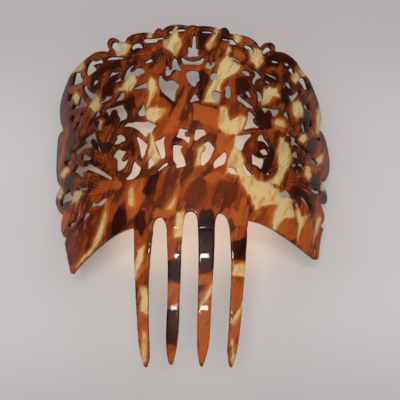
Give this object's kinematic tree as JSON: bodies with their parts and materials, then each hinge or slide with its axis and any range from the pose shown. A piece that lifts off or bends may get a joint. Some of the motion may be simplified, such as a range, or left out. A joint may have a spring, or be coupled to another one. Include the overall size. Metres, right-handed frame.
{
  "type": "decorative hair comb",
  "caption": "Tall curved crest comb with an openwork scroll crest, a scalloped border, pointed wings and long tapering teeth.",
  "frame": {"origin": "bottom centre of the comb's bounding box, where it lies on its two side edges", "axes": "+X across the width, +Y from the teeth to the crown, +Z out of the convex face"},
  "size_m": [0.1717, 0.1916, 0.0516],
  "materials": {
    "tortoiseshell": "polished, mottled amber, cream and dark brown"
  },
  "bodies": {
    "root": {"tooth_outer_left": "tortoiseshell", "tooth_inner_left": "tortoiseshell", "tooth_inner_right": "tortoiseshell", "tooth_outer_right": "tortoiseshell", "heel": "tortoiseshell", "wing_left": "tortoiseshell", "wing_right": "tortoiseshell", "crest_centre_low": "tortoiseshell", "crest_centre_high": "tortoiseshell", "crest_left_low": "tortoiseshell", "crest_left_high": "tortoiseshell", "crest_right_low": "tortoiseshell", "crest_right_high": "tortoiseshell", "border_left_low": "tortoiseshell", "border_left_high": "tortoiseshell", "border_right_low": "tortoiseshell", "border_right_high": "tortoiseshell"}
  },
  "joints": []
}
